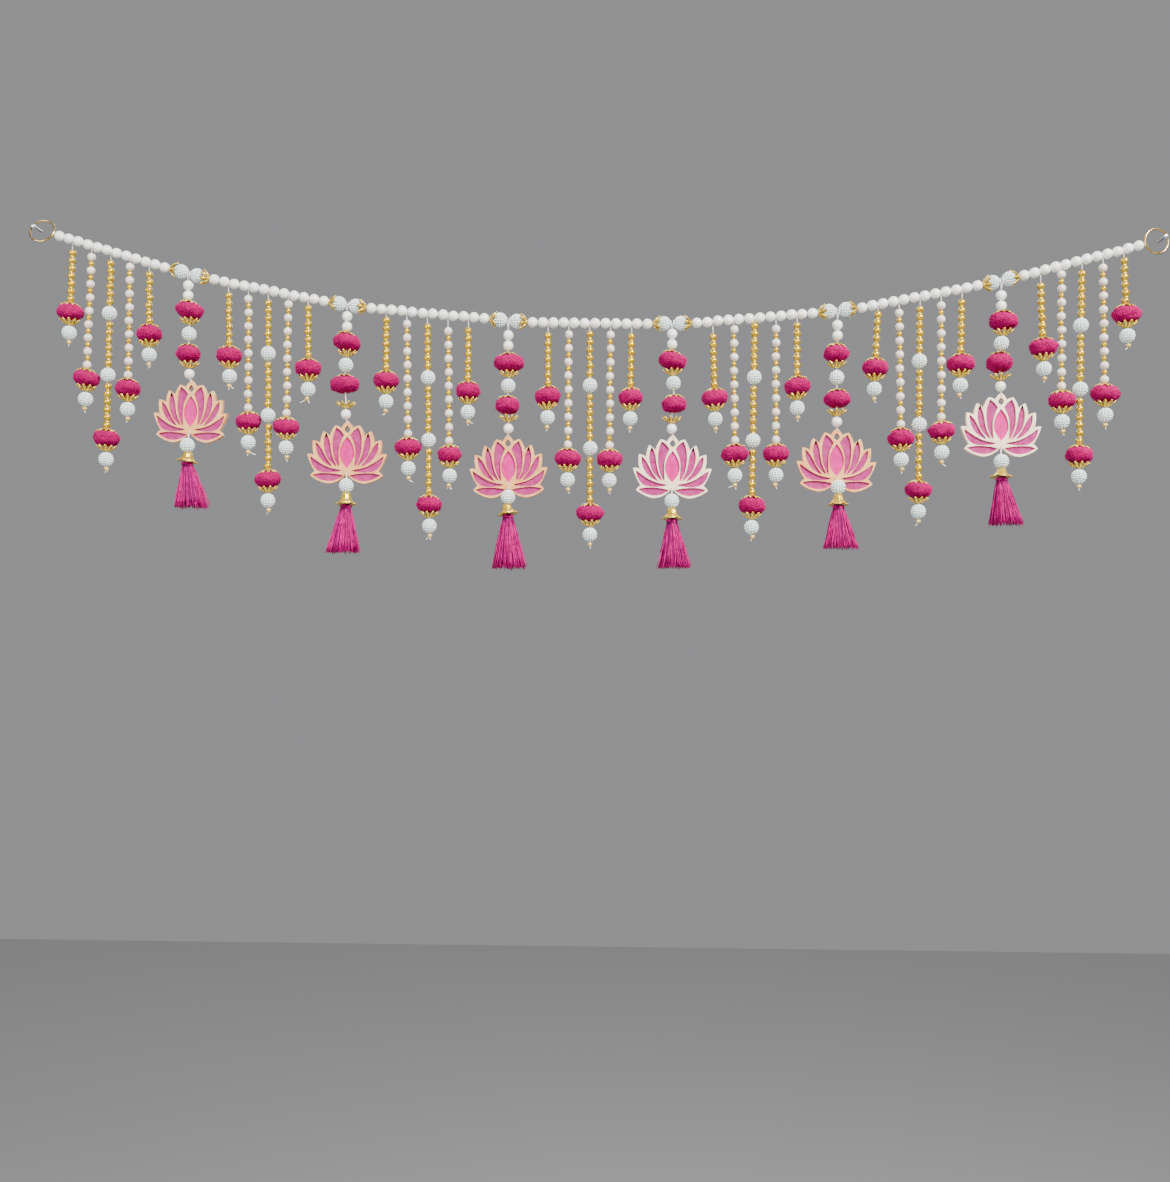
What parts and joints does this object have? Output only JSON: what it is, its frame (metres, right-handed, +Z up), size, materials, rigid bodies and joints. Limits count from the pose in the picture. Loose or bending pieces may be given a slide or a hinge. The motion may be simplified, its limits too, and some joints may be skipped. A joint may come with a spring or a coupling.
{
  "type": "toran door hanging with two nails",
  "caption": "Door garland: sagging pearl string between two rings on nails, hung with bead strands, pompoms, cut-out lotuses and tassels.",
  "frame": {"origin": "middle of the left nail's back face, where the nail leaves the wall", "axes": "+X along the garland from the left nail to the right one, +Z up, +Y into the wall, so -Y faces the viewer"},
  "size_m": [0.8764, 0.0275, 0.2757],
  "materials": {
    "nail_steel": "plain bright steel",
    "ring_gold": "polished gold-coloured wire",
    "pearl_white": "pearl gloss",
    "bead_gold": "polished gold-coloured beads and caps",
    "bead_cream": "warm pearl gloss",
    "pompom_magenta": "short velvety pile",
    "lotus_cream": "laser-cut board with pale gold paint and pink petals",
    "silk_magenta": "silky thread"
  },
  "bodies": {
    "root": {"nail_left": "nail_steel", "nail_right": "nail_steel", "ring_left": "ring_gold", "ring_right": "ring_gold", "garland": "pearl_white", "strand_1_1": "bead_gold", "strand_1_2": "bead_cream", "strand_1_3": "bead_gold", "strand_1_4": "bead_cream", "strand_1_5": "bead_gold", "strand_2_1": "bead_gold", "strand_2_2": "bead_cream", "strand_2_3": "bead_gold", "strand_2_4": "bead_cream", "strand_2_5": "bead_gold", "strand_3_1": "bead_gold", "strand_3_2": "bead_cream", "strand_3_3": "bead_gold", "strand_3_4": "bead_cream", "strand_3_5": "bead_gold", "strand_4_1": "bead_gold", "strand_4_2": "bead_cream", "strand_4_3": "bead_gold", "strand_4_4": "bead_cream", "strand_4_5": "bead_gold", "strand_5_1": "bead_gold", "strand_5_2": "bead_cream", "strand_5_3": "bead_gold", "strand_5_4": "bead_cream", "strand_5_5": "bead_gold", "strand_6_1": "bead_gold", "strand_6_2": "bead_cream", "strand_6_3": "bead_gold", "strand_6_4": "bead_cream", "strand_6_5": "bead_gold", "strand_7_1": "bead_gold", "strand_7_2": "bead_cream", "strand_7_3": "bead_gold", "strand_7_4": "bead_cream", "strand_7_5": "bead_gold", "pendant_1_chain": "pompom_magenta", "pendant_1_lotus": "lotus_cream", "pendant_1_tassel": "silk_magenta", "pendant_2_chain": "pompom_magenta", "pendant_2_lotus": "lotus_cream", "pendant_2_tassel": "silk_magenta", "pendant_3_chain": "pompom_magenta", "pendant_3_lotus": "lotus_cream", "pendant_3_tassel": "silk_magenta", "pendant_4_chain": "pompom_magenta", "pendant_4_lotus": "lotus_cream", "pendant_4_tassel": "silk_magenta", "pendant_5_chain": "pompom_magenta", "pendant_5_lotus": "lotus_cream", "pendant_5_tassel": "silk_magenta", "pendant_6_chain": "pompom_magenta", "pendant_6_lotus": "lotus_cream", "pendant_6_tassel": "silk_magenta"}
  },
  "joints": []
}
